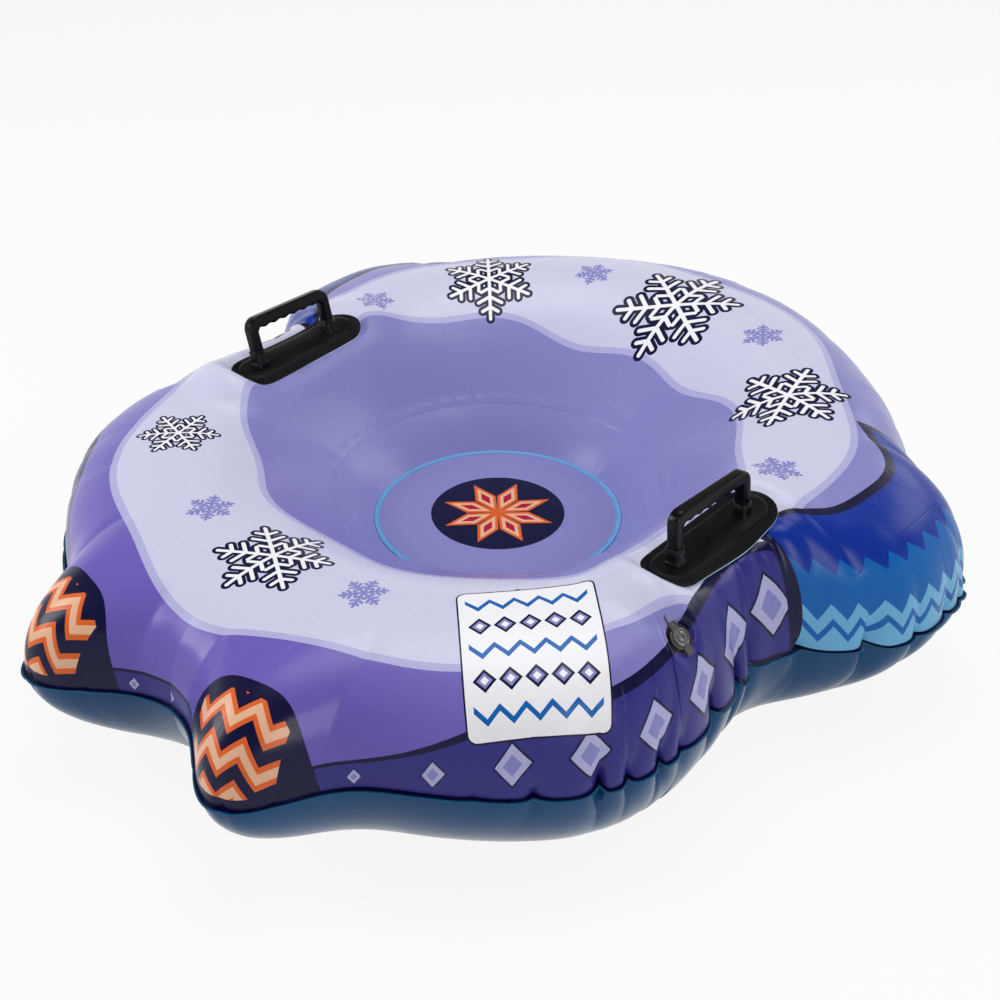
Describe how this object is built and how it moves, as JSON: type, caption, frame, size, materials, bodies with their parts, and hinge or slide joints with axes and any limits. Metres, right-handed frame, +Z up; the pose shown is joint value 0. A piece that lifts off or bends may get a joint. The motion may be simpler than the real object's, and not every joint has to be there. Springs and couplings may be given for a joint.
{
  "type": "inflatable snow sled",
  "caption": "Inflatable snow sled: a lobed ring of air with a dished seat, grab handles on both sides and an air valve with a strapped plug.",
  "frame": {"origin": "on the ground under the middle of the seam outline's length and width", "axes": "+Z up, -Y towards the small front lobes, +X towards the side with the air valve"},
  "size_m": [1.028, 1.1274, 0.3144],
  "materials": {
    "printed_vinyl": "satin printed vinyl sheet",
    "slick_base_vinyl": "glossy dark vinyl sheet",
    "weld_ring_vinyl": "light blue weld",
    "clear_baffle_vinyl": "milky clear vinyl sheet",
    "black_patch_vinyl": "black satin vinyl patch",
    "black_moulded_grip": "black moulded plastic",
    "smoky_valve_vinyl": "smoky translucent soft vinyl"
  },
  "bodies": {
    "sled": {"top_skin": "printed_vinyl", "seat_panel": "printed_vinyl", "seat_ring": "weld_ring_vinyl", "inner_baffle": "clear_baffle_vinyl", "bottom_skin": "slick_base_vinyl", "handle_base_right": "black_moulded_grip", "handle_patch_right": "black_patch_vinyl", "handle_grip_right": "black_moulded_grip", "handle_base_left": "black_moulded_grip", "handle_patch_left": "black_patch_vinyl", "handle_grip_left": "black_moulded_grip", "valve_socket": "smoky_valve_vinyl"},
    "stem": {"valve_stem": "smoky_valve_vinyl"},
    "plug": {"valve_plug": "smoky_valve_vinyl"},
    "flap": {"valve_flap": "smoky_valve_vinyl"}
  },
  "joints": [
    {"name": "stem_pull", "type": "slide", "parent": "sled", "child": "stem", "axis": [0.6688, 0.0117, 0.7434], "range_m": [0, 0.006]},
    {"name": "plug_open", "type": "hinge", "parent": "stem", "child": "plug", "pos_m": [0.4133, -0.1465, 0.2123], "axis": [-0.0175, 0.9998, 0], "range_deg": [0, 150]},
    {"name": "flap_open", "type": "hinge", "parent": "stem", "child": "flap", "pos_m": [0.3895, -0.1469, 0.2058], "axis": [0.0175, -0.9998, 0], "range_deg": [0, 40], "stiffness_Nm_per_rad": 0.0001, "springref_deg": -11.46}
  ]
}
